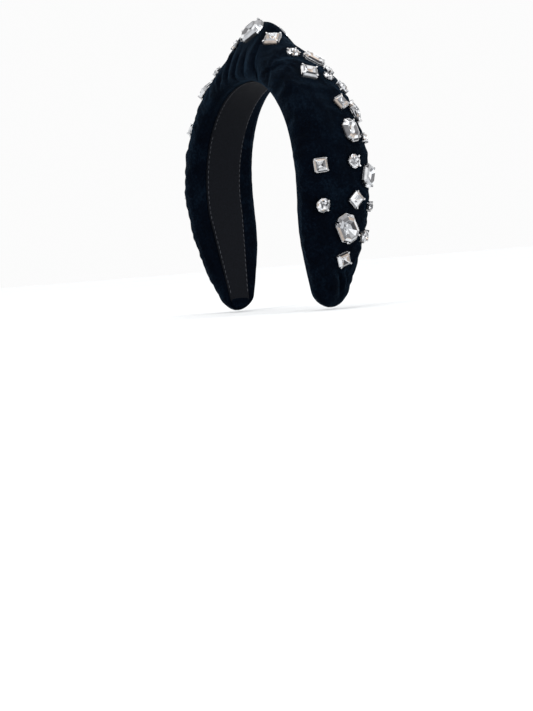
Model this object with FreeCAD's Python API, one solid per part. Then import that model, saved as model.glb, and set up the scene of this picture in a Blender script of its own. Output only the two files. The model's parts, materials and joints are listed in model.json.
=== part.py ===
import FreeCAD, Part
import math
import os

from FreeCAD import Matrix, Placement, Rotation, Vector

# Knotted, padded velvet headband (millimetres).
# +Z is up and the wearer faces -Y, so +X is the wearer's left.
# The origin is the centre of the crown's inner arc, on the middle of the band's width.
# A place on the band is a station s, measured along the inner face from the top (plus
# towards the wearer's left), a height r above the inner face, and y across the width.

# ---- driving dimensions -------------------------------------------------------------
INNER_RADIUS = 68.0
ARC_END = 100.0          # degrees from the top where the inner arc becomes a straight leg
LEG = 65.0               # straight leg, from the end of the arc to the tip
TIP_ROUND = 9.0          # length over which each tip rounds off
ARC_LENGTH = INNER_RADIUS * math.radians(ARC_END)
TIP = ARC_LENGTH + LEG

# width and thickness of the padded band at stations along one half
WIDTHS = [(0, 38), (30, 40), (60, 44), (95, 48), (119, 48), (140, 43), (160, 33), (173, 25), (TIP, 18)]
THICKNESSES = [(0, 34), (12, 31), (23, 26), (36, 22.5), (60, 21), (95, 19), (119, 17), (140, 15),
               (160, 12.5), (173, 10.5), (TIP, 9.5)]
SIDE_HEIGHT = 9.0        # greatest height of the widest place of a section
# superellipse powers of the section above that place, peaked by the knot, and below it
TOP_POWERS = [(0, 1.5), (23, 1.8), (45, 2.4), (TIP, 2.4)]
BOTTOM_POWER = 4.0
OUTLINE_POINTS = 24

LINING_THICK = 0.8       # ribbon on the inner face, from height 0
COVER_THICK = 1.2        # velvet skin
PAD_BOTTOM = LINING_THICK + COVER_THICK
CORE_BOTTOM = 2.4        # springy plastic band inside the foam
CORE_TOP = 4.4
LINING_HALF = 13.0
LINING_TIP_HALF = 6.5
CORE_HALF = 11.0
CORE_TIP_HALF = 4.5
THREAD = 0.5
HEM_LENGTH = 6.0
HEM_GAP = 0.2
HEM_DROP = 0.4

# the flex joints: a slot through the band, opening outwards so that an arm can swing
JOINT_STATION = 63.0
JOINT_HEIGHT = 0.5 * (CORE_BOTTOM + CORE_TOP)
JOINT_SLOT = 0.3
JOINT_SWING = 12.6       # degrees of free swing cut into the outer side

# the knot: a folded strap from front to back over the top, with a short ridge along X
KNOT_BASE_HALF = 25.0    # half length along X where the knot meets the inner face
KNOT_TOP_HALF = 16.5     # half length along X at the crest
KNOT_CREST = 107.0
KNOT_FOOT = 74.0         # height where the front and back faces of the knot turn under
KNOT_HALF_WIDTH = 20.0
KNOT_POWER = 1.45        # below 2 gives the tent-like section of gathered cloth
KNOT_RIDGE = [(0, 107), (6, 106.5), (12, 105), (16, 103), (20, 99), (27, 90)]
KNOT_SKIN = 1.4

# ---- stones -------------------------------------------------------------------------
# outline kind, length and width of each cut
CUTS = {
    "octagon_large": ("octagon", 18.0, 13.0),
    "octagon_medium": ("octagon", 14.0, 10.0),
    "square_large": ("square", 10.0, 10.0),
    "square_small": ("square", 8.0, 8.0),
    "round_large": ("round", 8.0, 8.0),
    "round_small": ("round", 6.0, 6.0),
    "pear": ("pear", 14.0, 9.0),
}
SINK = 1.0               # how far a setting's base is pressed into the velvet
GIRDLE = 1.8             # height of the stone's widest place above the bottom of its setting
RIM = 0.3                # metal around the stone
PRONG = 1.0
# cut corner of a stone, as a share of its width
CORNERS = {"octagon": 0.3, "square": 0.1}

# cut, station, y, turn of its long side from the band's length in degrees
LEFT_ARM_STONES = [
    ("square_small", 69.2, 9.5, 30),
    ("pear", 73, 19, 10),
    ("octagon_medium", 84, 10.5, 10),
    ("round_small", 87, 21, 0),
    ("square_small", 100, -14, 4),
    ("round_large", 99, 9, 0),
    ("octagon_medium", 106, 19.5, -18),
    ("square_small", 117, 9.5, 45),
    ("round_large", 119, -13, 0),
    ("round_small", 122, 22, 0),
    ("octagon_large", 134, 4.5, 28),
    ("round_large", 140, 18.5, 0),
    ("square_small", 153, 3.5, 18),
]
RIGHT_ARM_STONES = [
    ("pear", 70, -16, 160),
    ("square_small", 74, 8, 20),
    ("octagon_medium", 86, -8, -14),
    ("round_large", 90, 17, 0),
    ("square_large", 101, 6, 36),
    ("round_small", 104, -19, 0),
    ("octagon_large", 120, -7, -24),
    ("round_large", 118, 14, 0),
    ("square_small", 134, 9, 12),
    ("round_small", 138, -15, 0),
    ("octagon_medium", 148, -1, 22),
    ("round_large", 163, 3, 0),
]
CROWN_STONES = [
    ("round_large", 33, -2, 0),
    ("octagon_medium", 38, 9.5, 50),
    ("square_large", 50, -2, 68),
    ("round_small", 46, 15, 0),
    ("round_small", 53, 9.5, 0),
    ("round_large", 58, 17.5, 0),
    ("square_large", 18, -6, 50),
    ("round_small", -29, -14, 0),
    ("pear", -43, -15, 40),
    ("square_large", -42, 1, 15),
    ("round_large", -34, 11, 0),
    ("round_small", -55, -2, 0),
    ("round_large", -53, 14, 0),
]
# cut, x, share of the way down the front (minus) or back (plus) of the knot, turn
KNOT_STONES = [
    ("octagon_large", 4, -0.36, 38),
    ("round_small", -12, -0.5, 0),
    ("octagon_medium", 4, 0.45, -30),
    ("round_large", -10, 0.5, 0),
]


# ---- the band's own coordinates -----------------------------------------------------
def smooth(points, s):
    """Value at s of a smooth curve through (station, value) points."""
    s = min(max(s, points[0][0]), points[-1][0])
    last = len(points) - 1
    slopes = []
    for i in range(last + 1):
        before = points[max(i - 1, 0)]
        after = points[min(i + 1, last)]
        slopes.append((after[1] - before[1]) / (after[0] - before[0]))
    i = max(k for k in range(last) if points[k][0] <= s)
    step = points[i + 1][0] - points[i][0]
    u = (s - points[i][0]) / step
    return ((2 * u**3 - 3 * u**2 + 1) * points[i][1] + (u**3 - 2 * u**2 + u) * step * slopes[i]
            + (3 * u**2 - 2 * u**3) * points[i + 1][1] + (u**3 - u**2) * step * slopes[i + 1])


def tip_scale(s, tip):
    """Shrinks the sections near a tip so that it ends in a round nose."""
    past = abs(s) - (tip - TIP_ROUND)
    if past <= 0:
        return 1.0
    return max(math.sqrt(max(1.0 - (past / TIP_ROUND) ** 2, 0.0)), 0.12)


def normal_at(s):
    """Unit vector pointing out of the band at station s."""
    angle = math.copysign(min(abs(s) / INNER_RADIUS, math.radians(ARC_END)), s)
    return Vector(math.sin(angle), 0, math.cos(angle))


def point_at(s, r, y):
    """Point of space at station s, height r and y."""
    out = normal_at(s)
    along = Vector(out.z, 0, -out.x) * math.copysign(max(abs(s) - ARC_LENGTH, 0.0), s)
    return out * (INNER_RADIUS + r) + along + Vector(0, y, 0)


def width_at(s):
    return smooth(WIDTHS, abs(s))


def thickness_at(s):
    return smooth(THICKNESSES, abs(s))


def side_height_at(s):
    return min(SIDE_HEIGHT, 0.45 * thickness_at(s))


def surface_height(s, y):
    """Height of the velvet above the inner face at station s."""
    side = side_height_at(s)
    power = smooth(TOP_POWERS, abs(s))
    share = min(abs(2 * y / width_at(s)), 0.999)
    return side + (thickness_at(s) - side) * (1 - share**power) ** (1 / power)


def outline(s, inset):
    """Points round the band's section at station s, moved inwards by inset."""
    scale = tip_scale(s, TIP - inset)
    half = (width_at(s) / 2 - inset) * scale
    top = thickness_at(s) - inset
    side = side_height_at(s)
    middle = 0.5 * (top + PAD_BOTTOM)
    bottom = inset - 0.3
    points = []
    for i in range(OUTLINE_POINTS):
        angle = 2 * math.pi * (i + 0.5) / OUTLINE_POINTS
        c, n = math.cos(angle), math.sin(angle)
        power = smooth(TOP_POWERS, s) if n > 0 else BOTTOM_POWER
        y = half * math.copysign(abs(c) ** (2 / power), c)
        reach = top - side if n > 0 else side - bottom
        r = side + reach * math.copysign(abs(n) ** (2 / power), n)
        points.append(point_at(s, middle + (r - middle) * scale, y))
    return points


def faceted(rings):
    """Solid with flat facets through a row of rings of points."""
    faces = []
    for ring, step in ((rings[0], 1), (rings[-1], -1)):
        centre = sum(ring, Vector()) / len(ring)
        for i in range(len(ring)):
            faces.append([centre, ring[i], ring[(i - step) % len(ring)]])
    for low, high in zip(rings, rings[1:]):
        for i in range(len(low)):
            faces.append([low[i - 1], low[i], high[i]])
            faces.append([low[i - 1], high[i], high[i - 1]])
    flat = [Part.Face(Part.makePolygon(corners + corners[:1])) for corners in faces]
    solid = Part.Solid(Part.Shell(flat))
    if solid.Volume < 0:
        solid.reverse()
    return solid


def half_band(inset):
    """Solid of the padded half from the top to the left tip, moved inwards by inset."""
    round_start = TIP - inset - TIP_ROUND
    stations = [0, 12, 24, 36, 48, 60, 72, 84, 96, 108, 119, 131, 143, 155, 165, round_start]
    stations += [round_start + TIP_ROUND * share for share in (0.4, 0.7, 0.9, 0.98)]
    return faceted([outline(s, inset) for s in stations])


# ---- exact inner shapes -------------------------------------------------------------
def sector(r0, r1, half_width, start, end):
    """Ring sector between two heights and two angles in degrees from the top."""
    def corner(radius, angle):
        a = math.radians(angle)
        return Vector(radius * math.sin(a), -half_width, radius * math.cos(a))

    inner, outer, middle = INNER_RADIUS + r0, INNER_RADIUS + r1, 0.5 * (start + end)
    edges = [
        Part.Arc(corner(inner, start), corner(inner, middle), corner(inner, end)).toShape(),
        Part.LineSegment(corner(inner, end), corner(outer, end)).toShape(),
        Part.Arc(corner(outer, end), corner(outer, middle), corner(outer, start)).toShape(),
        Part.LineSegment(corner(outer, start), corner(inner, start)).toShape(),
    ]
    return Part.Face(Part.Wire(edges)).extrude(Vector(0, 2 * half_width, 0))


def leg_plate(r0, r1, half_width, tip_half, start, end):
    """Flat tapered plate on the left leg between two distances from the end of the arc."""
    s0, s1 = ARC_LENGTH + start, ARC_LENGTH + end
    corners = [point_at(s0, r0, -half_width), point_at(s0, r0, half_width),
               point_at(s1, r0, tip_half), point_at(s1, r0, -tip_half)]
    return Part.Face(Part.makePolygon(corners + corners[:1])).extrude(normal_at(TIP) * (r1 - r0))


def inside(r):
    """Everything nearer the head than height r, as two solids to cut with."""
    radius = INNER_RADIUS + r
    disc = Part.makeCylinder(radius, 120, Vector(0, -60, 0), Vector(0, 1, 0))
    left = [point_at(ARC_LENGTH, r, -60), point_at(TIP + 30, r, -60)]
    right = [Vector(-p.x, p.y, p.z) for p in reversed(left)]
    ring = left + right
    legs = Part.Face(Part.makePolygon(ring + ring[:1])).extrude(Vector(0, 120, 0))
    return [disc, legs]


def joint_slot():
    """The slot of the left flex joint: parallel by the head, opening outwards."""
    out = normal_at(JOINT_STATION)
    along = Vector(out.z, 0, -out.x)
    pivot = out * (INNER_RADIUS + JOINT_HEIGHT) + Vector(0, -60, 0)
    half = 0.5 * JOINT_SLOT
    reach = 40.0
    flare = half + reach * math.tan(math.radians(0.5 * JOINT_SWING))
    ring = [pivot - out * 20 - along * half, pivot - along * half, pivot + out * reach - along * flare,
            pivot + out * reach + along * flare, pivot + along * half, pivot - out * 20 + along * half]
    return Part.Face(Part.makePolygon(ring + ring[:1])).extrude(Vector(0, 120, 0))


def knot_block(inset=0.0):
    """The wedge of space the knot fills, with sloping ends where the band tucks under it."""
    slope = (KNOT_TOP_HALF - KNOT_BASE_HALF) / (KNOT_CREST - INNER_RADIUS)
    low, high = 40.0, 120.0
    base = KNOT_BASE_HALF + slope * (low - INNER_RADIUS) - inset
    top = KNOT_BASE_HALF + slope * (high - INNER_RADIUS) - inset
    ring = [Vector(-base, -60, low), Vector(base, -60, low), Vector(top, -60, high), Vector(-top, -60, high)]
    return Part.Face(Part.makePolygon(ring + ring[:1])).extrude(Vector(0, 120, 0))


def mirrored(shape):
    return shape.mirror(Vector(0, 0, 0), Vector(1, 0, 0))


def pieces(shape):
    """Solids of a shape, from the top of the band to its tip."""
    return sorted(shape.Solids, key=lambda solid: -solid.CenterOfMass.z)


def cut_all(shape, tools):
    for tool in tools:
        shape = shape.cut(tool)
    return shape


# ---- band ---------------------------------------------------------------------------
def split_at_joint(shape):
    """The crown's piece and the arm's piece of a left half."""
    parts = pieces(shape.cut(joint_slot()))
    return parts[0], parts[-1]


def strip(r0, r1, half_width, tip_half, leg_start, leg_end):
    """A flat layer: the crown's piece, and the left arm's piece with its leg."""
    angle = math.degrees(JOINT_STATION / INNER_RADIUS)
    whole = sector(r0, r1, half_width, -angle - 5, angle + 5)
    crown = cut_all(whole, [joint_slot(), mirrored(joint_slot())])
    crown = min(crown.Solids, key=lambda solid: abs(solid.CenterOfMass.x))
    arc = sector(r0, r1, half_width, angle - 5, ARC_END)
    leg = leg_plate(r0, r1, half_width, tip_half, leg_start, leg_end)
    arm = pieces(arc.fuse(leg).removeSplitter().cut(joint_slot()))[-1]
    return crown, arm


def make_core():
    return strip(CORE_BOTTOM, CORE_TOP, CORE_HALF, CORE_TIP_HALF, 0, LEG - 6)


def make_lining():
    return strip(0, LINING_THICK, LINING_HALF, LINING_TIP_HALF, 0, LEG - HEM_LENGTH - HEM_GAP)


def make_threads():
    """The sewing line along both edges of the lining."""
    length = LEG - HEM_LENGTH - HEM_GAP
    wide = strip(0, LINING_THICK, LINING_HALF + THREAD, LINING_TIP_HALF + THREAD, 0, length)
    narrow = strip(-1, LINING_THICK + 1, LINING_HALF, LINING_TIP_HALF, 0, length + 1)
    return [Part.makeCompound(whole.cut(middle).Solids) for whole, middle in zip(wide, narrow)]


def make_hem():
    """The folded end of the cloth on the inner side of the left tip."""
    start = LEG - HEM_LENGTH
    plate = leg_plate(-HEM_DROP, LINING_THICK, LINING_TIP_HALF, LINING_TIP_HALF * 0.8, start, LEG - 1)
    upright = [edge for edge in plate.Edges if abs(edge.Length - (HEM_DROP + LINING_THICK)) < 0.01]
    return plate.makeFillet(0.35, upright)


def knot_profile(x, inset):
    """Points round the knot's tent-like section at x, moved inwards by inset."""
    crest = smooth(KNOT_RIDGE, abs(x)) - inset
    half = KNOT_HALF_WIDTH - inset
    points = []
    for i in range(19):
        angle = math.pi * i / 18
        y = half * math.copysign(abs(math.cos(angle)) ** (2 / KNOT_POWER), math.cos(angle))
        points.append(Vector(x, y, KNOT_FOOT + (crest - KNOT_FOOT) * math.sin(angle) ** (2 / KNOT_POWER)))
    return points + [Vector(x, 2 - half, 45), Vector(x, half - 2, 45)]


def make_knot():
    """Pad and wrap of the knot."""
    stations = [-27, -20, -16, -12, -8, -4, 0, 4, 8, 12, 16, 20, 27]
    outer = faceted([knot_profile(x, 0) for x in stations]).common(knot_block())
    inner = faceted([knot_profile(x, KNOT_SKIN) for x in stations])
    inner = inner.common(knot_block(KNOT_SKIN)).cut(inside(PAD_BOTTOM)[0])
    outer = outer.cut(inside(LINING_THICK)[0])
    return inner, outer.cut(inner)


def save(name, solids):
    """Writes one node and prints its size."""
    shape = solids[0] if len(solids) == 1 else Part.makeCompound(solids)
    if not shape.isValid() or not shape.Solids:
        raise RuntimeError(name + " is not a valid solid")
    shape.exportStep("parts/" + name + ".step")
    print("%-28s %3d solids %9.1f mm3" % (name, len(shape.Solids), shape.Volume))


# ---- stones and settings ------------------------------------------------------------
def stone_outline(kind, length, width, scale, z):
    """Corners of a stone's outline, long side along X, scaled about its middle."""
    if kind in CORNERS:
        a, b, c = length / 2, width / 2, CORNERS[kind] * width
        corners = [(a, -b + c), (a, b - c), (a - c, b), (c - a, b), (-a, b - c), (-a, c - b), (c - a, -b),
                   (a - c, -b)]
    elif kind == "round":
        turns = [2 * math.pi * (i + 0.5) / 12 for i in range(12)]
        corners = [(length / 2 * math.cos(t), width / 2 * math.sin(t)) for t in turns]
    else:
        turns = [2 * math.pi * i / 14 for i in range(14)]
        corners = [(length / 2 * math.cos(t), 0.57 * width * math.sin(t) * math.sin(t / 2) ** 0.6)
                   for t in turns]
    return [Vector(x * scale, y * scale, z) for x, y in corners]


def frustum(kind, length, width, levels):
    """Solid with flat facets through (scale, height) levels of one outline."""
    rings = [stone_outline(kind, length, width, scale, z) for scale, z in levels]
    faces = [Part.Face(Part.makePolygon(ring + ring[:1])) for ring in (rings[0], rings[-1])]
    for low, high in zip(rings, rings[1:]):
        for i in range(len(low)):
            k = (i + 1) % len(low)
            faces.append(Part.Face(Part.makePolygon([low[i], low[k], high[k], high[i], low[i]])))
    return Part.Solid(Part.Shell(faces))


def make_stone(cut):
    """Crystal and claw setting of one cut, standing on z = 0."""
    kind, length, width = CUTS[cut]
    depth = min(0.16 * width, GIRDLE - 0.3)
    rise = 0.2 * width
    crystal = frustum(kind, length, width, [
        (0.5, GIRDLE - depth), (1.0, GIRDLE - 0.15), (1.0, GIRDLE + 0.15), (0.84, GIRDLE + 0.65 * rise),
        (0.6, GIRDLE + rise)])
    rim = 1 + 2 * RIM / width
    setting = frustum(kind, length, width, [(rim * 0.84, 0.0), (rim, GIRDLE - 0.25)])
    corners = stone_outline(kind, length, width, 1.0, 0)
    if kind in CORNERS:
        places = [(corners[i] + corners[(i + 1) % 8]) * 0.5 for i in (1, 3, 5, 7)]
    elif kind == "round":
        places = [corners[i] for i in (1, 4, 7, 10)]
    else:
        places = [corners[i] for i in (0, 4, 7, 10)]
    claw_height = GIRDLE + 0.75 * rise
    for place in places:
        claw = Part.makeBox(1.3 * PRONG, PRONG, claw_height, Vector(-0.8 * PRONG, -0.5 * PRONG, 0))
        turn = math.degrees(math.atan2(place.y, place.x))
        claw.Placement = Placement(place, Rotation(Vector(0, 0, 1), turn))
        setting = setting.fuse(claw)
    setting = setting.cut(crystal)
    return crystal, max(setting.Solids, key=lambda solid: solid.Volume)


def seat(origin, along, out, turn):
    """Placement of a stone whose base is pressed into the velvet at origin."""
    along = (along - out * along.dot(out)).normalize()
    side = out.cross(along)
    matrix = Matrix(along.x, side.x, out.x, 0, along.y, side.y, out.y, 0, along.z, side.z, out.z, 0,
                    0, 0, 0, 1)
    facing = Placement(matrix).Rotation.multiply(Rotation(Vector(0, 0, 1), turn))
    return Placement(origin - out * SINK, facing)


def band_seat(s, y, turn):
    step = 0.5
    here = point_at(s, surface_height(s, y), y)
    ahead = point_at(s + step, surface_height(s + step, y), y) - here
    across = point_at(s, surface_height(s, y + step), y + step) - here
    out = across.cross(ahead).normalize()
    if out.dot(normal_at(s)) < 0:
        out = out * -1
    return seat(here, ahead, out, turn)


def knot_point(x, share):
    """Point of the knot's skin at x, a share of the way down its front or back."""
    crest = smooth(KNOT_RIDGE, abs(x))
    angle = math.pi / 2 * (1 - abs(share))
    y = math.copysign(KNOT_HALF_WIDTH * math.cos(angle) ** (2 / KNOT_POWER), share)
    return Vector(x, y, KNOT_FOOT + (crest - KNOT_FOOT) * math.sin(angle) ** (2 / KNOT_POWER))


def knot_seat(x, share, turn):
    here = knot_point(x, share)
    ahead = knot_point(x + 0.5, share) - here
    across = knot_point(x, share + math.copysign(0.02, share)) - here
    out = across.cross(ahead).normalize()
    if out.z < 0:
        out = out * -1
    return seat(here, ahead, out, turn)


def place_stones(body, seats):
    """Writes the stones of one body: a node of crystals per cut, and its settings."""
    made = {cut: make_stone(cut) for cut in CUTS}
    families = {}
    for cut in CUTS:
        seats_of_cut = [place for name, place in seats if name == cut]
        if not seats_of_cut:
            continue
        crystals = []
        for place in seats_of_cut:
            crystal, setting = made[cut]
            crystals.append(crystal.transformed(place.toMatrix()))
            families.setdefault(CUTS[cut][0], []).append(setting.transformed(place.toMatrix()))
        save("crystal_%s_%s" % (cut, body), crystals)
    for family, settings in families.items():
        save("setting_%s_%s" % (family, body), settings)


def main():
    os.makedirs("parts", exist_ok=True)
    core_crown, core_arm = make_core()
    lining_crown, lining_arm = make_lining()
    thread_crown, thread_arm = make_threads()
    outer = half_band(0)
    inner = half_band(COVER_THICK)
    pad = cut_all(inner, inside(PAD_BOTTOM))
    cover = cut_all(outer, inside(LINING_THICK)).cut(pad)
    pad_crown, pad_arm = split_at_joint(pad)
    cover_crown, cover_arm = split_at_joint(cover)
    pad_crown = pad_crown.cut(knot_block()).cut(core_crown)
    cover_crown = cover_crown.cut(knot_block())
    pad_arm = pad_arm.cut(core_arm)
    knot_pad, knot_wrap = make_knot()
    knot_pad = knot_pad.cut(core_crown)
    knot_wrap = knot_wrap.cut(core_crown)
    hem = make_hem()

    save("core_crown", [core_crown])
    save("lining_crown", [lining_crown])
    save("thread_crown", thread_crown.Solids)
    save("knot_pad", [knot_pad])
    save("knot_wrap", [knot_wrap])
    for side, turn in (("left", lambda shape: shape), ("right", mirrored)):
        save("pad_crown_" + side, [turn(pad_crown)])
        save("cover_crown_" + side, [turn(cover_crown)])
        save("core_" + side, [turn(core_arm)])
        save("lining_" + side, [turn(lining_arm)])
        save("thread_" + side, turn(thread_arm).Solids)
        save("pad_" + side, [turn(pad_arm)])
        save("cover_" + side, [turn(cover_arm)])
        save("hem_" + side, [turn(hem)])

    crown_seats = [(cut, band_seat(s, y, turn)) for cut, s, y, turn in CROWN_STONES]
    crown_seats += [(cut, knot_seat(x, share, turn)) for cut, x, share, turn in KNOT_STONES]
    place_stones("crown", crown_seats)
    place_stones("left", [(cut, band_seat(s, y, turn)) for cut, s, y, turn in LEFT_ARM_STONES])
    place_stones("right", [(cut, band_seat(-s, y, turn)) for cut, s, y, turn in RIGHT_ARM_STONES])


main()
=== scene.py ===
import json
import math

import bmesh
import bpy
from mathutils import Matrix, Vector, noise
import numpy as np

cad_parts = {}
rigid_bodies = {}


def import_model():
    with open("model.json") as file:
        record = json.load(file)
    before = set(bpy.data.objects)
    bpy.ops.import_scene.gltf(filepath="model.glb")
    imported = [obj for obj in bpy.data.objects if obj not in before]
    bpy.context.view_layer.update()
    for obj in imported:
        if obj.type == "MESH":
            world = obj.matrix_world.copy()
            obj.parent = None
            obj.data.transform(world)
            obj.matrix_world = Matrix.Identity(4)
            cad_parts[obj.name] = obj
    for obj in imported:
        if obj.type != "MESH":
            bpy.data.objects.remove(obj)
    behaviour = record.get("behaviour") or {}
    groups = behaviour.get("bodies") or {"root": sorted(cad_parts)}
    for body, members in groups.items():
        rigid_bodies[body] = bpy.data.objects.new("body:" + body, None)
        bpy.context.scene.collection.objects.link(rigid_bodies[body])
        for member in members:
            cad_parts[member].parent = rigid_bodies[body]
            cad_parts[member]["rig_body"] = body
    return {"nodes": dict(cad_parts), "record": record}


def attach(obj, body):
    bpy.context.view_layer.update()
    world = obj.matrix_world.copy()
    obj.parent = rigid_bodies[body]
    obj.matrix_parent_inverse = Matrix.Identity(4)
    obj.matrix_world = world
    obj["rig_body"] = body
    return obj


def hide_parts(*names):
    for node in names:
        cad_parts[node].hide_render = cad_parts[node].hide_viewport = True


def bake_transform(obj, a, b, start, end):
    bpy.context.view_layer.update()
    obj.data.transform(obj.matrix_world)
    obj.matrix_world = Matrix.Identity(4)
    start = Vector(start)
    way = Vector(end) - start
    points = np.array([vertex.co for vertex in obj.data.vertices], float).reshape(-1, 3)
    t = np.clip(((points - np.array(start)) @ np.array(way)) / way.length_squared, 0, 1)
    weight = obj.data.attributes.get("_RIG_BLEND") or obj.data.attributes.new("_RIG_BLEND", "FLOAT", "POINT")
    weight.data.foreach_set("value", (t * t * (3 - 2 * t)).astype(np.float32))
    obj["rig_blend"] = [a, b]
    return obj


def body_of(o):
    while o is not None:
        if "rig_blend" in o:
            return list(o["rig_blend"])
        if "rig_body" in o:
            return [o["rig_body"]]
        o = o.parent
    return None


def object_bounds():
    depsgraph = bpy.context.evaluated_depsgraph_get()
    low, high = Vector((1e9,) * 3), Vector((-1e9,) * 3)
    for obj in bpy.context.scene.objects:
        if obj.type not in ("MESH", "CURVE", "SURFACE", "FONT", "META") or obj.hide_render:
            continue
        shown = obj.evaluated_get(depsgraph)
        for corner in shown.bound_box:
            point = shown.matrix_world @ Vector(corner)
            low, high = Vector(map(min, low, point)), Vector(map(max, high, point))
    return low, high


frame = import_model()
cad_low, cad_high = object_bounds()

# Knotted velvet headband in metres. +Z is up, the wearer faces -Y, +X is the wearer's left.
# A place on the band is a station s along the inner face from the top (plus towards the
# wearer's left), a height r above the inner face, and y across the width, as in the CAD.
# The pieces: a velvet tube for each half, the knot's wrap, ribbons, stitches and folded ends
# on the inner side, and faceted stones. Functions whose text says "in mm" work in millimetres.

# ---- sizes --------------------------------------------------------------------------
MM = 0.001
RADIUS = frame["record"]["mounts"][0]["dims"]["r_mm"] * MM
ARC_END = math.radians(100.0)
LEG = 65.0 * MM
ARC_LENGTH = RADIUS * ARC_END
TIP = ARC_LENGTH + LEG
TIP_MM = TIP / MM
# the band's section, in mm: width and thickness at stations, and its superellipse powers
WIDTHS = [(0, 38), (30, 40), (60, 44), (95, 48), (119, 48), (140, 43), (160, 33), (173, 25), (TIP_MM, 18)]
THICKNESSES = [(0, 34), (12, 31), (23, 26), (36, 22.5), (60, 21), (95, 19), (119, 17), (140, 15),
               (160, 12.5), (173, 10.5), (TIP_MM, 9.5)]
SIDE_HEIGHT = 9.0
TOP_POWERS = [(0, 1.5), (23, 1.8), (45, 2.4), (TIP_MM, 2.4)]
BOTTOM_POWER = 4.0
TIP_ROUND = 9 * MM       # length over which each tip rounds off
LINING_THICK = 0.8 * MM
LINING_HALF = 13.0 * MM
LINING_TIP_HALF = 6.5 * MM
BAND_START = 13.0        # mm: the band's velvet begins inside the knot
RING_STEP = 1.6          # mm between rings of the velvet
RING_POINTS = 112
# the knot, in mm: crest heights at distances from the middle, then its section and length
KNOT_RIDGE = [(0, 107), (6, 106.5), (12, 105), (16, 103), (20, 99), (27, 90)]
KNOT_FOOT = 74.0
KNOT_HALF_WIDTH = 20.0
KNOT_POWER = 1.45
KNOT_BASE_HALF = 25.0
KNOT_TOP_HALF = 16.5
KNOT_CREST = 107.0
BLEND_START = 54.0       # mm: stations between which the velvet bends at a flex joint
BLEND_END = 72.0

# the camera's place: azimuth, elevation and roll in degrees, distance and focus
CAMERA_AZIMUTH = 61.0
CAMERA_ELEVATION = -3.0
CAMERA_ROLL = -4.5
CAMERA_DISTANCE = 1.1
CAMERA_LENS = 86.8
CAMERA_TARGET = Vector((0, 0, 0.01))
CAMERA_TILT = 6.05       # degrees the camera looks below the target
CAMERA_PAN = 0.18        # degrees it looks to the target's left


# ---- the band's own coordinates -----------------------------------------------------
def smooth(points, s):
    """Value at s of a smooth curve through (station, value) points."""
    s = min(max(s, points[0][0]), points[-1][0])
    last = len(points) - 1
    slopes = []
    for i in range(last + 1):
        before, after = points[max(i - 1, 0)], points[min(i + 1, last)]
        slopes.append((after[1] - before[1]) / (after[0] - before[0]))
    i = max(k for k in range(last) if points[k][0] <= s)
    step = points[i + 1][0] - points[i][0]
    u = (s - points[i][0]) / step
    return ((2 * u**3 - 3 * u**2 + 1) * points[i][1] + (u**3 - 2 * u**2 + u) * step * slopes[i]
            + (3 * u**2 - 2 * u**3) * points[i + 1][1] + (u**3 - u**2) * step * slopes[i + 1])


def ease(low, high, value):
    """Goes smoothly from 0 at low to 1 at high."""
    t = min(max((value - low) / (high - low), 0.0), 1.0)
    return t * t * (3 - 2 * t)


def normal_at(s):
    angle = math.copysign(min(abs(s) / RADIUS, ARC_END), s)
    return Vector((math.sin(angle), 0, math.cos(angle)))


def knot_half(z):
    """Half length of the knot along X at height z, both in mm."""
    share = (z - RADIUS / MM) / (KNOT_CREST - RADIUS / MM)
    return KNOT_BASE_HALF + (KNOT_TOP_HALF - KNOT_BASE_HALF) * share


def height_of(point):
    """Height of a point above the inner face."""
    if math.atan2(abs(point.x), point.z) < ARC_END:
        return math.hypot(point.x, point.z) - RADIUS
    return point.dot(normal_at(math.copysign(TIP, point.x))) - RADIUS


def point_at(s, r, y):
    out = normal_at(s)
    along = Vector((out.z, 0, -out.x)) * math.copysign(max(abs(s) - ARC_LENGTH, 0.0), s)
    return out * (RADIUS + r) + along + Vector((0, y, 0))


# ---- small helpers ------------------------------------------------------------------
def new_mesh(name, points, faces, material, flat=False):
    """A mesh object in the scene, with its material."""
    mesh = bpy.data.meshes.new(name)
    mesh.from_pydata([tuple(p) for p in points], [], faces)
    mesh.validate()
    if not flat:
        mesh.shade_smooth()
    mesh.materials.append(material)
    piece = bpy.data.objects.new(name, mesh)
    bpy.context.scene.collection.objects.link(piece)
    return piece


def tube_faces(rings, around):
    """Quads between rings of points, and a face on each end ring."""
    faces = []
    for i in range(rings - 1):
        for k in range(around):
            n = (k + 1) % around
            faces.append((i * around + k, i * around + n, (i + 1) * around + n, (i + 1) * around + k))
    faces.append(tuple(reversed(range(around))))
    faces.append(tuple(range((rings - 1) * around, rings * around)))
    return faces


def fix_normals(piece):
    """Welds corners that coincide and turns every face outwards."""
    mesh = bmesh.new()
    mesh.from_mesh(piece.data)
    bmesh.ops.remove_doubles(mesh, verts=mesh.verts, dist=1e-6)
    bmesh.ops.recalc_face_normals(mesh, faces=mesh.faces)
    mesh.to_mesh(piece.data)
    mesh.free()


def subdivide(piece):
    modifier = piece.modifiers.new("Smooth", "SUBSURF")
    modifier.levels = 1
    modifier.render_levels = 1


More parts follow.
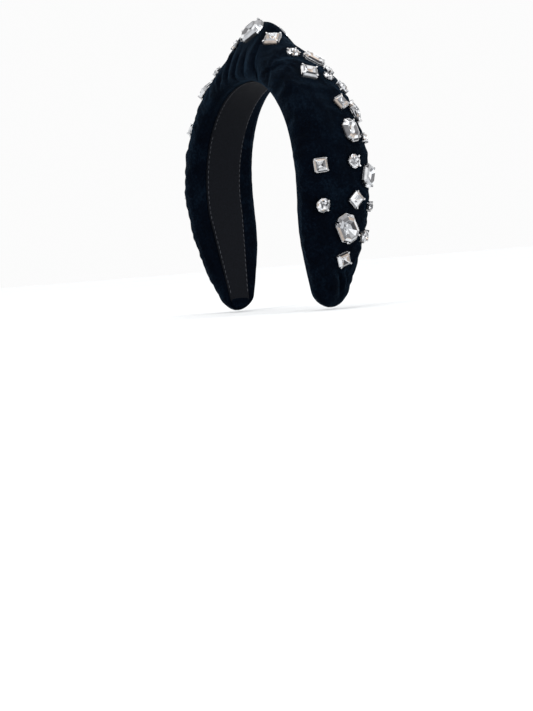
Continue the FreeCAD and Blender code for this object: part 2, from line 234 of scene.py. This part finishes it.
# ---- materials ----------------------------------------------------------------------
class Nodes:
    """A material being built from nodes."""

    def __init__(self, name):
        self.material = bpy.data.materials.new(name)
        self.material.use_nodes = True
        self.tree = self.material.node_tree
        self.shader = self.tree.nodes["Principled BSDF"]

    def add(self, kind, links=None, **values):
        """A node with its sockets or settings given by name, fed by the linked sockets."""
        node = self.tree.nodes.new(kind)
        for key, value in values.items():
            if key in node.inputs:
                node.inputs[key].default_value = value
            else:
                setattr(node, key, value)
        if links:
            for socket, source in links.items():
                self.tree.links.new(source, node.inputs[socket])
        return node

    def position(self):
        return self.add("ShaderNodeTexCoord").outputs["Object"]

    def noise(self, scale, detail):
        links = {"Vector": self.position()}
        node = self.add("ShaderNodeTexNoise", links, Scale=scale, Detail=detail)
        return node.outputs["Fac"]

    def ramp(self, source, stops):
        """Colours at (place, colour) stops along the source's value."""
        node = self.add("ShaderNodeValToRGB", {"Fac": source})
        node.color_ramp.elements[0].position = stops[0][0]
        node.color_ramp.elements[0].color = (*stops[0][1], 1)
        node.color_ramp.elements[1].position = stops[-1][0]
        node.color_ramp.elements[1].color = (*stops[-1][1], 1)
        for place, colour in stops[1:-1]:
            node.color_ramp.elements.new(place).color = (*colour, 1)
        return node.outputs["Color"]

    def math(self, operation, first, second):
        """Sum or product of two sockets or numbers."""
        node = self.add("ShaderNodeMath", operation=operation)
        for socket, value in zip(node.inputs, (first, second)):
            if isinstance(value, (int, float)):
                socket.default_value = value
            else:
                self.tree.links.new(value, socket)
        return node.outputs[0]

    def bump(self, height, distance, strength=1.0, below=None):
        links = {"Height": height}
        if below:
            links["Normal"] = below
        node = self.add("ShaderNodeBump", links, Distance=distance, Strength=strength)
        return node.outputs["Normal"]

    def set(self, **values):
        for key, value in values.items():
            self.shader.inputs[key.replace("_", " ")].default_value = value

    def link(self, socket, source):
        self.tree.links.new(source, self.shader.inputs[socket])


def velvet_material():
    """Blue-black velvet: dense short pile with a cool sheen, brushed patches and stray fibres."""
    m = Nodes("velvet")
    patches = m.noise(70, 3)
    pile = m.noise(1500, 2)
    fibres = m.noise(2600, 1)
    speckle = m.math("ADD", m.math("MULTIPLY", m.noise(620, 2), 0.3), m.math("MULTIPLY", pile, 0.3))
    brushed = m.math("ADD", m.math("MULTIPLY", patches, 0.4), speckle)
    m.link("Base Color", m.ramp(brushed, [
        (0.36, (0.0003, 0.0007, 0.0018)),
        (0.52, (0.0008, 0.002, 0.0048)),
        (0.68, (0.0035, 0.008, 0.015)),
    ]))
    m.link("Roughness", m.math("ADD", 0.72, m.math("MULTIPLY", patches, 0.25)))
    soft = m.bump(patches, 0.0006, 0.5)
    m.link("Normal", m.bump(m.math("ADD", pile, fibres), 0.00035, 0.9, soft))
    m.set(Sheen_Weight=0.1, Sheen_Roughness=0.3, Sheen_Tint=(0.2, 0.45, 0.75, 1))
    m.set(Specular_IOR_Level=0.015)
    return m.material


def ribbon_material():
    """Black woven ribbon with a faint uneven weave."""
    m = Nodes("ribbon")
    weave = m.noise(1600, 2)
    m.link("Base Color", m.ramp(weave, [(0.3, (0.0022, 0.0026, 0.0038)), (0.7, (0.006, 0.007, 0.01))]))
    m.link("Roughness", m.math("ADD", 0.6, m.math("MULTIPLY", weave, 0.25)))
    m.link("Normal", m.bump(weave, 0.00025, 0.7))
    m.set(Specular_IOR_Level=0.06)
    return m.material


def plastic_material():
    """Satin black plastic of the hidden core."""
    m = Nodes("plastic")
    tone = m.ramp(m.noise(200, 2), [(0.3, (0.02, 0.02, 0.02)), (0.7, (0.032, 0.032, 0.032))])
    m.link("Base Color", tone)
    m.set(Roughness=0.45)
    return m.material


def thread_material():
    m = Nodes("thread")
    twist = m.noise(3000, 1)
    m.link("Base Color", m.ramp(twist, [(0.3, (0.01, 0.012, 0.018)), (0.7, (0.04, 0.045, 0.06))]))
    m.link("Normal", m.bump(twist, 0.0001, 0.7))
    m.set(Roughness=0.55)
    return m.material


# painted reflections and painted shade of a foil-backed stone: each facet gets one lit or shaded tone as its
# colour; share of the facets, colour
PAINTED_FACET_LIGHTS = {
    "bright": (0.27, (0.9, 0.91, 0.93)),
    "pale": (0.25, (0.5, 0.51, 0.53)),
    "warm": (0.12, (0.5, 0.42, 0.36)),
    "grey": (0.21, (0.2, 0.2, 0.21)),
    "dark": (0.15, (0.04, 0.04, 0.045)),
}


def facet_material(tone):
    """Cut glass over silver foil, with the light one facet returns painted into its colour: bright tones are
    painted highlights and dark tones painted shade; clear, glossy, slightly uneven.
    """
    m = Nodes("facet_" + tone)
    colour = PAINTED_FACET_LIGHTS[tone][1]
    cloud = m.noise(420, 2)
    deep = tuple(0.72 * c for c in colour)
    m.link("Base Color", m.ramp(cloud, [(0.3, deep), (0.65, colour)]))
    m.set(Metallic=0.8, Roughness=0.08, Coat_Weight=0.8, Coat_Roughness=0.02)
    return m.material


def claw_material():
    """Polished silver-coloured plating with faint handling marks."""
    m = Nodes("claw_metal")
    marks = m.noise(700, 3)
    m.link("Base Color", m.ramp(marks, [(0.3, (0.42, 0.42, 0.43)), (0.7, (0.68, 0.68, 0.69))]))
    m.link("Roughness", m.math("ADD", 0.1, m.math("MULTIPLY", marks, 0.18)))
    m.set(Metallic=1.0)
    return m.material


def floor_material():
    """Pale matt floor."""
    m = Nodes("floor")
    tone = m.ramp(m.noise(3, 2), [(0.3, (0.80, 0.81, 0.82)), (0.7, (0.83, 0.84, 0.85))])
    m.link("Base Color", tone)
    m.set(Roughness=0.9, Specular_IOR_Level=0.1)
    return m.material


# ---- stones, read from the frame ----------------------------------------------------
GIRDLE_BELOW = 0.62      # the girdle's top edge lies below this share of a stone's height


def islands(mesh):
    """Triangles of every separate solid of a CAD node's mesh, as lists of corners."""
    parent = {}

    def root(key):
        while parent[key] != key:
            key = parent[key]
        return key

    triangles = []
    for face in mesh.polygons:
        corners = [mesh.vertices[i].co.copy() for i in face.vertices]
        keys = [tuple(round(c, 6) for c in corner) for corner in corners]
        for key in keys:
            parent.setdefault(key, key)
            parent[root(key)] = root(keys[0])
        triangles.append((keys[0], corners))
    groups = {}
    for key, corners in triangles:
        groups.setdefault(root(key), []).append(corners)
    return list(groups.values())


def table_normal(triangles):
    """Direction that the largest total area of a stone's faces looks in."""
    areas = {}
    for a, b, c in triangles:
        cross = (b - a).cross(c - a)
        if cross.length > 1e-12:
            key = tuple(round(v, 1) for v in cross.normalized())
            area, total = areas.get(key, (0.0, Vector()))
            areas[key] = (area + cross.length, total + cross)
    return max(areas.values(), key=lambda pair: pair[0])[1].normalized()


class Stone:
    """Outline and place of one cut stone, read from its CAD solid.

    The table is the flat face the stone looks out with, and the girdle its widest place.
    """

    def __init__(self, triangles):
        self.out = table_normal(triangles)
        points = [p for corners in triangles for p in corners]
        middle = sum(points, Vector()) / len(points)
        heights = [(p - middle).dot(self.out) for p in points]
        low, top = min(heights), max(heights)
        flat = [p - self.out * h for p, h in zip(points, heights)]
        self.reach = max((p - middle).length for p in flat)
        levels = sorted(set(round(h, 5) for h in heights))
        girdle = max(level for level in levels if level < low + GIRDLE_BELOW * (top - low))
        across = self.out.orthogonal().normalized()
        up = self.out.cross(across)
        ring = {}
        for p, h in zip(points, heights):
            if abs(h - girdle) < 2e-5:
                offset = p - middle
                ring[round(math.atan2(offset.dot(up), offset.dot(across)), 3)] = p
        ring = [ring[angle] for angle in sorted(ring)]
        self.centre = sum(ring, Vector()) / len(ring)
        self.offsets = [p - self.centre for p in ring]
        self.rise = top - girdle

    def level(self, scale, height, half_step=False):
        """A ring of the outline scaled about the middle, lifted above the girdle."""
        count = len(self.offsets)
        ring = []
        for i in range(count):
            offset = self.offsets[i]
            if half_step:
                offset = 0.5 * (offset + self.offsets[(i + 1) % count])
            ring.append(self.centre + offset * scale + self.out * height)
        return ring


def read_stones():
    """The stones of every crystal node."""
    found = {}
    for name, node in frame["nodes"].items():
        if name.startswith("crystal_"):
            found[name] = [Stone(triangles) for triangles in islands(node.data)]
    return found


STONE_NODES = read_stones()
STONES = [(stone.centre, stone.reach) for stones in STONE_NODES.values() for stone in stones]
DIMPLE = -0.9            # mm from the plain surface to the velvet under a stone
DIMPLE_START = 0.9       # a dimple is full within this many times the stone's half length
DIMPLE_END = 2.4         # and fades out at this many


def sewn_down(point):
    """How firmly the stones sewn on near a point draw the velvet down, from 0 to 1."""
    pull = 0.0
    for middle, reach in STONES:
        gap = (point - middle).length
        if gap < reach * DIMPLE_END:
            pull = max(pull, 1 - ease(reach * DIMPLE_START, reach * DIMPLE_END, gap))
    return pull


# ---- velvet of the band -------------------------------------------------------------
# centre line of the deep fold on the lower arm: (station, y) in mm
FOLD = [(134, 4.5), (146, 3), (158, 2), (169, 4.5), (179, 3.5), (185, 3)]
GATHERS = 9              # wave number of the folds along the top of the band near the knot
GATHER_PITCH = 14        # mm between the upright folds on its front and back
TUCK = 3.0               # mm that the band is drawn in where the knot covers it
BAND_END = TIP_MM - 0.3


def fold_depth(s, y):
    """Height change near the deep fold: a sharp valley between two full rolls, in mm."""
    strength = ease(136, 156, s)
    if strength <= 0:
        return 0.0
    away = y - smooth(FOLD, s)
    valley = -3.2 * math.exp(-(away / 2.0) ** 2) * (1 - ease(168, 180, s))
    rolls = 1.8 * math.exp(-((away + 6.0) / 4.0) ** 2) - 1.0 * ease(1.0, 6.0, away)
    return strength * (valley + rolls * (1 - 0.5 * ease(170, 184, s)))


def wrinkles(s, y, side):
    """Soft puckers of the stuffed velvet, in mm."""
    seed = Vector((0, 0, 7.3 * side))
    long = noise.noise(Vector((s / 26, y / 9, 0)) + seed)
    short = noise.noise(Vector((s / 9, y / 6, 3)) + seed)
    edge = ease(0.55, 1.0, abs(2 * y / smooth(WIDTHS, s)))
    pucker = noise.noise(Vector((s / 4.5, y / 30, 9)) + seed)
    return 0.8 * long + 0.35 * short + edge * 0.8 * pucker


def gathers(s, r, y):
    """Folds near the knot in mm: along the band's top, and up its front and back."""
    strength = 1 - ease(18, 48, s)
    if strength <= 0:
        return 0.0
    across = y / (0.5 * smooth(WIDTHS, s))
    drift = noise.noise(Vector((s / 20, across * 2, 5)))
    along = 0.4 * (math.sin(GATHERS * across + 1.5 * drift) - 0.3)
    foot = s + 0.45 * r + 4 * drift
    upright = 1.1 * (abs(math.sin(math.pi * foot / GATHER_PITCH)) ** 0.8 - 0.7)
    edge = ease(0.55, 0.95, abs(across))
    return strength * (along * (1 - edge) + upright * edge)


def band_ring(s, side):
    """Ring of points round the velvet at station s millimetres."""
    past = (s - (TIP_MM - TIP_ROUND / MM)) / (TIP_ROUND / MM)
    scale = math.sqrt(max(1 - past * past, 0.02)) if past > 0 else 1.0
    half = 0.5 * smooth(WIDTHS, s) * scale
    top = smooth(THICKNESSES, s)
    widest = min(SIDE_HEIGHT, 0.45 * top)
    bottom = LINING_THICK / MM
    middle = 0.5 * (top + bottom)
    ring = []
    for k in range(RING_POINTS):
        angle = 2 * math.pi * (k + 0.5) / RING_POINTS
        c, n = math.cos(angle), math.sin(angle)
        power = smooth(TOP_POWERS, s) if n > 0 else BOTTOM_POWER
        y = half * math.copysign(abs(c) ** (2 / power), c)
        reach = top - widest if n > 0 else widest + 0.5
        r = max(widest + reach * math.copysign(abs(n) ** (2 / power), n), bottom)
        r = middle + (r - middle) * scale
        upper = ease(bottom, widest, r)
        plain = point_at(side * s * MM, r * MM, y * MM)
        out = (normal_at(side * s) * max(n, 0.0) + Vector((0, c * 0.8, 0))).normalized()
        lift = wrinkles(s, y, side) + gathers(s, r, y)
        lift += fold_depth(s, y) * max(n, 0.0)
        covered = knot_half(plain.z / MM) - abs(plain.x) / MM
        lift -= TUCK * ease(-4, 5, covered)
        pull = sewn_down(plain)
        lift += pull * (DIMPLE - lift)
        ring.append(plain + out * (upper * lift * scale * MM))
    return ring


def make_band_velvet(name, side, material):
    """Velvet of one half, from inside the knot to the tip."""
    count = int((BAND_END - BAND_START) / RING_STEP)
    points = []
    for i in range(count + 1):
        s = BAND_START + (BAND_END - BAND_START) * i / count
        points += band_ring(s, side)
    piece = new_mesh(name, points, tube_faces(count + 1, RING_POINTS), material)
    fix_normals(piece)
    return piece


# ---- the knot -----------------------------------------------------------------------
# valleys between the pleats across the knot, from -1 to 1
PLEAT_EDGES = [-1.0, -0.5, 0.0, 0.42, 1.0]
PLEAT_DEPTH = 3.8        # mm for a pleat as wide as half the knot
KNOT_ACROSS = 96         # steps of the knot's mesh across it and round it
KNOT_AROUND = 150
KNOT_ARC_STEPS = 60


def knot_loop(x, points):
    """Evenly spaced (y, z) points in mm once round the knot's section at x, from below."""
    crest = smooth(KNOT_RIDGE, abs(x))
    inner = math.sqrt((RADIUS / MM + 0.8) ** 2 - x * x)
    half = []
    for k in range(KNOT_ARC_STEPS):
        angle = 0.5 * math.pi * k / (KNOT_ARC_STEPS - 1)
        half.append((KNOT_HALF_WIDTH * math.cos(angle) ** (2 / KNOT_POWER),
                     KNOT_FOOT + (crest - KNOT_FOOT) * math.sin(angle) ** (2 / KNOT_POWER)))
    under = [(0.0, inner), (12.0, inner), (16.5, inner + 0.4), (18.8, inner + 2.0)]
    half = under + [(KNOT_HALF_WIDTH - 0.2, 0.5 * (inner + 2 + KNOT_FOOT))] + half
    loop = half + [(-y, z) for y, z in reversed(half[1:-1])]
    loop.append(loop[0])
    lengths = [0.0]
    for (y0, z0), (y1, z1) in zip(loop, loop[1:]):
        lengths.append(lengths[-1] + math.hypot(y1 - y0, z1 - z0))
    even, i = [], 0
    for k in range(points):
        want = lengths[-1] * k / points
        while lengths[i + 1] < want:
            i += 1
        t = (want - lengths[i]) / max(lengths[i + 1] - lengths[i], 1e-9)
        even.append((loop[i][0] + t * (loop[i + 1][0] - loop[i][0]),
                     loop[i][1] + t * (loop[i + 1][1] - loop[i][1])))
    return even


def pleat(u, rise, front):
    """Height in mm of the pleats at u across the knot and a share of its rise."""
    lean = 0.12 * (1 - rise) * (1 if front else -1)
    drift = 0.08 * noise.noise(Vector((u * 2, rise * 2, 4 * front)))
    u = min(max(u + lean * (1 - u * u) + drift, -0.999), 0.999)
    i = max(k for k in range(len(PLEAT_EDGES) - 1) if PLEAT_EDGES[k] <= u)
    low, high = PLEAT_EDGES[i], PLEAT_EDGES[i + 1]
    t = (u - low) / (high - low)
    fullness = 0.8 + 0.5 * noise.noise(Vector((i * 2.7, rise * 1.5, 6 + front)))
    hump = math.sin(math.pi * t**1.35) ** 0.75 - 0.6
    return PLEAT_DEPTH * (high - low) * fullness * hump


LOOPS = {}               # loops already worked out, by their x in mm


def loop_at(x):
    """The knot's loop at x mm, kept for the next time it is needed."""
    key = round(x, 2)
    if key not in LOOPS:
        LOOPS[key] = knot_loop(key, KNOT_AROUND)
    return LOOPS[key]


def knot_point(u, k):
    """One point of the knot's skin at u across it and step k round it."""
    x = u * KNOT_BASE_HALF
    for _ in range(3):
        loop = loop_at(x)
        y, z = loop[k]
        x = u * knot_half(z)
    before, after = loop[k - 1], loop[(k + 1) % KNOT_AROUND]
    out = Vector((0, after[1] - before[1], before[0] - after[0])).normalized()
    if out.dot(Vector((0, y, z - 82))) < 0:
        out = -out
    rise = (z - 70) / 37
    front = 1 if y < 0 else 0
    strength = ease(68, 76, z)
    fade = (1 - 0.75 * ease(90, 105, z)) * (1 - 0.6 * ease(0.75, 1, abs(u)))
    lift = pleat(u, rise, front) * strength * fade
    lift -= 2.0 * ease(0.8, 1.0, abs(u)) ** 2 * strength
    place = Vector((x, y, z)) * MM
    lift += sewn_down(place) * (DIMPLE - lift) * strength
    return place + out * lift * MM


def make_knot(material):
    points = []
    for i in range(KNOT_ACROSS + 1):
        u = -1 + 2 * i / KNOT_ACROSS
        points += [knot_point(u, k) for k in range(KNOT_AROUND)]
    faces = tube_faces(KNOT_ACROSS + 1, KNOT_AROUND)
    piece = new_mesh("velvet_knot", points, faces, material)
    fix_normals(piece)
    return piece


# ---- cut stones ---------------------------------------------------------------------
# rings of corners from the bottom up, then down into the table: scale of the outline,
# height as a share of the stone's rise above its girdle, and whether corners fall half way
BRILLIANT = [(1.0, -0.9, False), (1.0, 0.0, False), (0.84, 0.62, True), (0.56, 1.0, False),
             (0.52, 0.93, False), (0.3, 0.3, True)]
STEP_CUT = [(1.0, -0.9, False), (1.0, 0.0, False), (0.86, 0.62, False), (0.66, 1.0, False),
            (0.62, 0.93, False), (0.36, 0.25, False)]
# the cells group facets under one painted light tone
CELLS_PER_METRE = 900    # facets whose middles share a cell share a tone


def facets(stone, brilliant):
    """Corners of each facet: a step cut, or for round and pear stones a brilliant."""
    plan = BRILLIANT if brilliant else STEP_CUT
    rings = [stone.level(scale, share * stone.rise, half) for scale, share, half in plan]
    half_steps = [half for _, _, half in plan]
    shapes = []
    for level in range(len(rings) - 1):
        low, high = rings[level], rings[level + 1]
        for i in range(len(low)):
            k = (i + 1) % len(low)
            if half_steps[level] == half_steps[level + 1]:
                shapes.append([low[i], low[k], high[k], high[i]])
            elif half_steps[level + 1]:
                shapes += [[low[i], low[k], high[i]], [low[k], high[k], high[i]]]
            else:
                shapes += [[low[i], high[k], high[i]], [low[i], low[k], high[k]]]
    point = stone.centre - stone.out * 0.25 * stone.rise
    last = rings[-1]
    shapes += [[last[i], last[(i + 1) % len(last)], point] for i in range(len(last))]
    shapes.append(rings[0][::-1])
    return shapes


def tone_of(value):
    """Index of the facet's painted light tone that a value from 0 to 1 falls on."""
    total = 0.0
    for index, (share, _) in enumerate(PAINTED_FACET_LIGHTS.values()):
        total += share
        if value < total:
            return index
    return 0


def make_gems(name, group, materials):
    """Faceted stones that stand for one CAD node of crystals."""
    points, faces, tones = [], [], []
    for number, stone in enumerate(group):
        for shape in facets(stone, "round" in name or "pear" in name):
            faces.append(tuple(range(len(points), len(points) + len(shape))))
            points += shape
            middle = sum(shape, Vector()) / len(shape)
            # each facet gets a painted light tone, from painted highlight to painted shade, from the cell
            # noise at its middle
            cell = noise.cell(middle * CELLS_PER_METRE + Vector((number, 0, 0)))
            tones.append(tone_of(cell % 1.0))
    name = name.replace("crystal", "gem")
    piece = new_mesh(name, points, faces, materials[0], flat=True)
    for material in materials[1:]:
        piece.data.materials.append(material)
    for polygon, tone in zip(piece.data.polygons, tones):
        polygon.material_index = tone
    fix_normals(piece)
    return piece


# ---- lining, stitches and hems ------------------------------------------------------
HEM_LENGTH = 6 * MM
STITCH_PITCH = 3.4 * MM
STITCH_LENGTH = 2.4 * MM
STITCH_THICK = 0.22 * MM
STITCH_INSET = 1.3 * MM  # from the edge of the lining to the row of stitches


def lining_half(s):
    """Half width of the lining at station s, in metres."""
    share = max(s - ARC_LENGTH, 0.0) / LEG
    return LINING_HALF + (LINING_TIP_HALF - LINING_HALF) * share


def make_ribbon(name, side, material):
    """The ribbon on the inner face, with slightly rolled edges."""
    end = TIP - HEM_LENGTH
    rings, around = 200, 26
    points = []
    for i in range(rings + 1):
        s = end * i / rings
        half = lining_half(s)
        for k in range(around):
            t = k / (around / 2)
            if t < 1:
                y, r = half * (2 * t - 1), 0.05 * MM
            else:
                y, r = half * (3 - 2 * t), LINING_THICK + 0.15 * MM
            curl = 0.25 * MM * ease(0.9, 1.0, abs(y) / half) if t < 1 else 0.0
            points.append(point_at(side * s, r + curl, y))
    piece = new_mesh(name, points, tube_faces(rings + 1, around), material)
    fix_normals(piece)
    return piece


def make_stitches(name, side, start, end, material):
    """Short threads along both edges of the lining between two stations."""
    points, faces = [], []
    count = int((end - start) / STITCH_PITCH)
    for edge in (-1, 1):
        for i in range(count):
            s = start + (i + 0.5) * STITCH_PITCH
            y = edge * (lining_half(s) - STITCH_INSET)
            base = len(points)
            for j in range(5):
                t = j / 4
                bulge = math.sin(math.pi * t)
                height = 0.08 * MM - 0.1 * MM * bulge
                place = s + (t - 0.5) * STITCH_LENGTH
                w = STITCH_THICK * (0.4 + 0.6 * bulge)
                for k in range(6):
                    a = 2 * math.pi * k / 6
                    r = height + w * 0.4 * math.sin(a)
                    points.append(point_at(side * place, r, y + w * math.cos(a)))
            for quad in tube_faces(5, 6):
                faces.append(tuple(base + q for q in quad))
    piece = new_mesh(name, points, faces, material)
    fix_normals(piece)
    return piece


def make_hem(name, side, material):
    """The folded end of the velvet, tucked over the end of the lining."""
    start, end = TIP - HEM_LENGTH - 2 * MM, TIP - 1.2 * MM
    rings, around = 18, 28
    points = []
    for i in range(rings + 1):
        t = i / rings
        s = start + (end - start) * t
        round_end = math.sqrt(max(1 - (2 * t - 1) ** 6, 0.03))
        half = (LINING_TIP_HALF * 1.12) * (1 - 0.28 * t) * round_end
        for k in range(around):
            a = 2 * math.pi * k / around
            y = half * math.copysign(abs(math.cos(a)) ** 0.6, math.cos(a))
            fullness = 0.85 * MM * (0.7 + 0.3 * math.sin(3 * math.pi * t)) * round_end
            crumple = 0.12 * MM * noise.noise(Vector((s * 400, y * 400, side)))
            r = 0.4 * MM + fullness * math.sin(a) + crumple
            points.append(point_at(side * s, r, y))
    piece = new_mesh(name, points, tube_faces(rings + 1, around), material)
    fix_normals(piece)
    return piece


# ---- cloth simulation ---------------------------------------------------------------
def swell(piece, pinned, frames, pressure, growth, cap):
    """Lets a velvet piece swell as stuffed cloth, held where pinned says, and keeps the result."""
    start = [v.co.copy() for v in piece.data.vertices]
    group = piece.vertex_groups.new(name="held")
    for vertex in piece.data.vertices:
        group.add([vertex.index], pinned(vertex.co), "REPLACE")
    cloth = piece.modifiers.new("Cloth", "CLOTH")
    cloth.settings.vertex_group_mass = "held"
    cloth.settings.quality = 5
    cloth.settings.mass = 0.2
    cloth.settings.tension_stiffness = 12
    cloth.settings.compression_stiffness = 12
    cloth.settings.bending_stiffness = 0.4
    cloth.settings.use_pressure = True
    cloth.settings.uniform_pressure_force = pressure
    cloth.settings.shrink_min = growth
    cloth.settings.effector_weights.gravity = 0
    cloth.collision_settings.use_collision = False
    scene = bpy.context.scene
    for number in range(1, frames + 1):
        scene.frame_set(number)
    settled = piece.evaluated_get(bpy.context.evaluated_depsgraph_get())
    moved = [v.co.copy() for v in settled.data.vertices]
    piece.modifiers.remove(cloth)
    piece.vertex_groups.remove(group)
    scene.frame_set(1)
    for vertex, before, after in zip(piece.data.vertices, start, moved):
        step = after - before
        if step.length > cap:
            step *= cap / step.length
        vertex.co = before + step


# ---- scene --------------------------------------------------------------------------
def make_camera():
    """Camera on a sphere round its target, then rolled, tilted and panned."""
    azimuth, elevation = math.radians(CAMERA_AZIMUTH), math.radians(CAMERA_ELEVATION)
    level = math.cos(elevation)
    back = Vector((math.sin(azimuth) * level, -math.cos(azimuth) * level, math.sin(elevation)))
    right = Vector((0, 0, 1)).cross(back).normalized()
    up = back.cross(right)
    turn = Matrix((right, up, back)).transposed().to_4x4()
    data = bpy.data.cameras.new("camera")
    data.lens = CAMERA_LENS
    data.clip_start, data.clip_end = 0.05, 20
    camera = bpy.data.objects.new("camera", data)
    bpy.context.scene.collection.objects.link(camera)
    aim = Matrix.Rotation(math.radians(CAMERA_ROLL), 4, "Z")
    aim = aim @ Matrix.Rotation(math.radians(-CAMERA_TILT), 4, "X")
    aim = aim @ Matrix.Rotation(math.radians(CAMERA_PAN), 4, "Y")
    camera.matrix_world = Matrix.Translation(CAMERA_TARGET + back * CAMERA_DISTANCE) @ turn @ aim
    bpy.context.scene.camera = camera


def make_light(name, place, size, energy, colour=(1, 1, 1)):
    """Soft rectangular light that faces the headband."""
    data = bpy.data.lights.new(name, "AREA")
    data.shape = "RECTANGLE"
    data.size, data.size_y = size
    data.energy = energy
    data.color = colour
    light = bpy.data.objects.new(name, data)
    bpy.context.scene.collection.objects.link(light)
    light.location = place
    light.rotation_mode = "QUATERNION"
    light.rotation_quaternion = (Vector(place) - Vector((0, 0, 0.02))).to_track_quat("Z", "Y")


def make_studio():
    """Wide pale floor under the tips, white surroundings and soft lights."""
    corners = [(-40, -40, 0), (40, -40, 0), (40, 40, 0), (-40, 40, 0)]
    floor = new_mesh("floor", corners, [(0, 1, 2, 3)], floor_material())
    floor.location.z = cad_low.z - 0.8 * MM
    world = bpy.data.worlds.new("studio")
    bpy.context.scene.world = world
    world.use_nodes = True
    background = world.node_tree.nodes["Background"]
    background.inputs["Color"].default_value = (1.0, 1.0, 1.0, 1)
    background.inputs["Strength"].default_value = 0.97
    make_light("key", (0.5, -1.3, 1.0), (0.6, 0.6), 7)
    make_light("rim", (1.1, 0.7, 0.4), (0.3, 0.9), 5, (0.95, 0.98, 1.0))
    overhead = bpy.data.lights.new("overhead", "SUN")
    overhead.energy = 0.8
    overhead.angle = 1.2
    bpy.context.scene.collection.objects.link(bpy.data.objects.new("overhead", overhead))
    bpy.context.scene.view_settings.view_transform = "Standard"


def held_at(point):
    """How firmly the band's velvet is held: at the lining, the tip, in the knot and under stones."""
    hold = 1 - ease(3 * MM, 7 * MM, height_of(point))
    tip = point_at(math.copysign(TIP, point.x), 5 * MM, 0)
    hold = max(hold, 1 - ease(11 * MM, 18 * MM, (point - tip).length))
    if point.z > 0:
        hold = max(hold, 1 - ease(22 * MM, 34 * MM, abs(point.x)))
    for middle, reach in STONES:
        hold = max(hold, 1 - ease(reach, reach * 1.5, (point - middle).length))
    return hold


def main():
    make_camera()
    velvet = velvet_material()
    ribbon = ribbon_material()
    thread = thread_material()
    plastic = plastic_material()
    claw = claw_material()
    # lit and shaded copies of the facet material, one for each painted light tone
    tones = [facet_material(tone) for tone in PAINTED_FACET_LIGHTS]

    for name, side, body in (("left", 1, "left_arm"), ("right", -1, "right_arm")):
        cover = make_band_velvet("velvet_" + name, side, velvet)
        swell(cover, held_at, 16, 2.5, -0.02, 2.0 * MM)
        subdivide(cover)
        start = point_at(side * BLEND_START * MM, 10 * MM, 0)
        end = point_at(side * BLEND_END * MM, 10 * MM, 0)
        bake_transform(cover, "crown", body, start, end)
        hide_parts("cover_crown_" + name, "pad_crown_" + name, "cover_" + name, "pad_" + name)

        lining = make_ribbon("ribbon_" + name, side, ribbon)
        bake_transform(lining, "crown", body, start, end)
        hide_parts("lining_" + name, "lining_crown")
        crown_stitches = make_stitches("stitches_crown_" + name, side, 2 * MM, 62 * MM, thread)
        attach(crown_stitches, "crown")
        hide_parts("thread_crown")
        stitches = make_stitches("stitches_" + name, side, 64 * MM, TIP - 9 * MM, thread)
        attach(stitches, body)
        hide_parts("thread_" + name)

        hem = make_hem("hem_fold_" + name, side, velvet)
        subdivide(hem)
        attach(hem, body)
        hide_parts("hem_" + name)

    knot = make_knot(velvet)
    subdivide(knot)
    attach(knot, "crown")
    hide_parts("knot_wrap", "knot_pad")

    for name, node in list(frame["nodes"].items()):
        if name.startswith("crystal_"):
            gems = make_gems(name, STONE_NODES[name], tones)
            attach(gems, body_of(node)[0])
            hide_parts(name)
        elif name.startswith("setting_"):
            node.data.materials[0] = claw
        elif name.startswith("core_"):
            node.data.materials[0] = plastic
    make_studio()


main()
